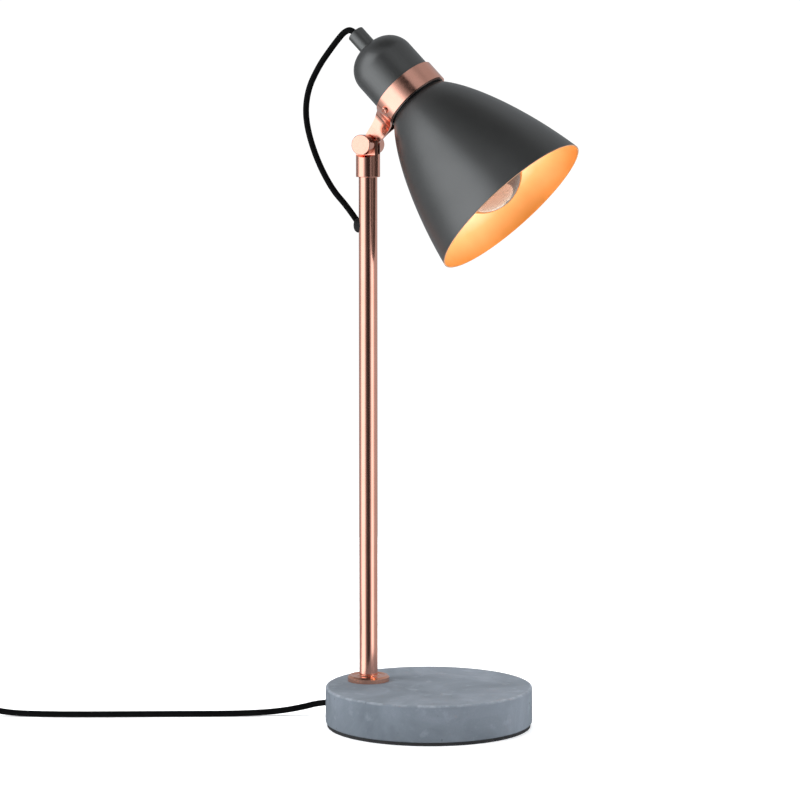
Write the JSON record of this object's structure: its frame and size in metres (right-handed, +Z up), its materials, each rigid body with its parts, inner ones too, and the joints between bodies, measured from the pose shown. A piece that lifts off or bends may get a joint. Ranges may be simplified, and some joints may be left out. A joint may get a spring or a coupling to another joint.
{
  "type": "table lamp",
  "caption": "Table lamp with a round concrete base, an upright copper stem and a bell shade that tilts on a clevis at the stem's top.",
  "frame": {"origin": "centre of the round base's underside, on the surface it stands on", "axes": "+Z up along the stem, +X the way the head leans, Y along the tilt pivot"},
  "size_m": [0.5844, 0.2288, 0.5042],
  "materials": {
    "concrete": "matte",
    "pad": "matte",
    "black_rubber": "matte",
    "cable": "matte",
    "nylon": "satin",
    "steel": "satin",
    "copper_satin": "satin",
    "copper_polished": "polished",
    "brass": "satin",
    "grey_coat": "satin",
    "wire_insulation": "satin",
    "black_plastic": "satin",
    "ceramic": "matte",
    "bulb_glass": "polished",
    "copper_mirror": "polished",
    "nickel": "polished",
    "vitrite": "gloss",
    "solder": "satin",
    "filament": "matte"
  },
  "bodies": {
    "stand": {"concrete_base": "concrete", "base_pad": "pad", "base_cord_grommet": "black_rubber", "stem_grommet": "black_rubber", "plug_sleeve": "black_rubber", "stem_cable": "cable", "head_cable": "cable", "mains_cord": "cable", "cord_to_coil": "cable", "cord_coil": "cable", "cord_tail": "cable", "switch_cable_stubs": "cable", "cord_clamp": "nylon", "cord_clamp_screws": "steel", "base_washer": "steel", "base_nut": "steel", "stem_nipple": "steel", "switch_screws": "steel", "switch_pin": "steel", "stem_tube": "copper_satin", "stem_flange": "copper_satin", "stem_ferrule": "copper_satin", "pivot_cap_nut": "copper_polished", "stem_insert": "brass", "switch_terminals": "brass", "switch_lower": "black_plastic", "switch_upper": "black_plastic", "plug_body": "black_plastic", "plug_pins": "nickel"},
    "head": {"neck_strap": "copper_polished", "strap_screws": "copper_polished", "strap_nuts": "steel", "socket_cup": "grey_coat", "cup_lock_nut": "steel", "head_nipple": "steel", "cable_gland": "grey_coat", "gland_grub_screw": "nylon", "holder_cable": "cable", "holder_wires": "wire_insulation", "holder_cap": "black_plastic", "holder_skirt": "black_plastic", "holder_insert": "ceramic", "holder_thread_shell": "brass", "holder_contact": "brass", "holder_terminals": "brass", "terminal_screws": "steel", "shade": "grey_coat", "shade_ring": "black_plastic"},
    "bulb": {"bulb_glass": "bulb_glass", "bulb_crown_mirror": "copper_mirror", "bulb_cap": "nickel", "bulb_insulator": "vitrite", "bulb_contact": "solder", "bulb_stem": "bulb_glass", "bulb_filaments": "filament"},
    "knob": {"pivot_knob": "copper_polished", "pivot_stud": "steel"},
    "rocker": {"switch_rocker": "black_plastic"}
  },
  "joints": [
    {"name": "head_tilt", "type": "hinge", "parent": "stand", "child": "head", "pos_m": [-0.048, 0, 0.42], "axis": [0, 1, 0], "range_deg": [-60, 32], "deforming": ["head_cable"]},
    {"name": "bulb_turn", "type": "hinge", "parent": "head", "child": "bulb", "pos_m": [-0.0148, 0, 0.45599], "axis": [0.7009, 0, -0.7133], "continuous": true},
    {"name": "knob_turn", "type": "hinge", "parent": "stand", "child": "knob", "pos_m": [-0.048, 0, 0.42], "axis": [0, -1, 0], "range_deg": [0, 360]},
    {"name": "switch_rock", "type": "hinge", "parent": "stand", "child": "rocker", "pos_m": [-0.354, -0.1195, 0.0107], "axis": [-0.3846, 0.9231, 0], "range_deg": [0, 12]}
  ]
}
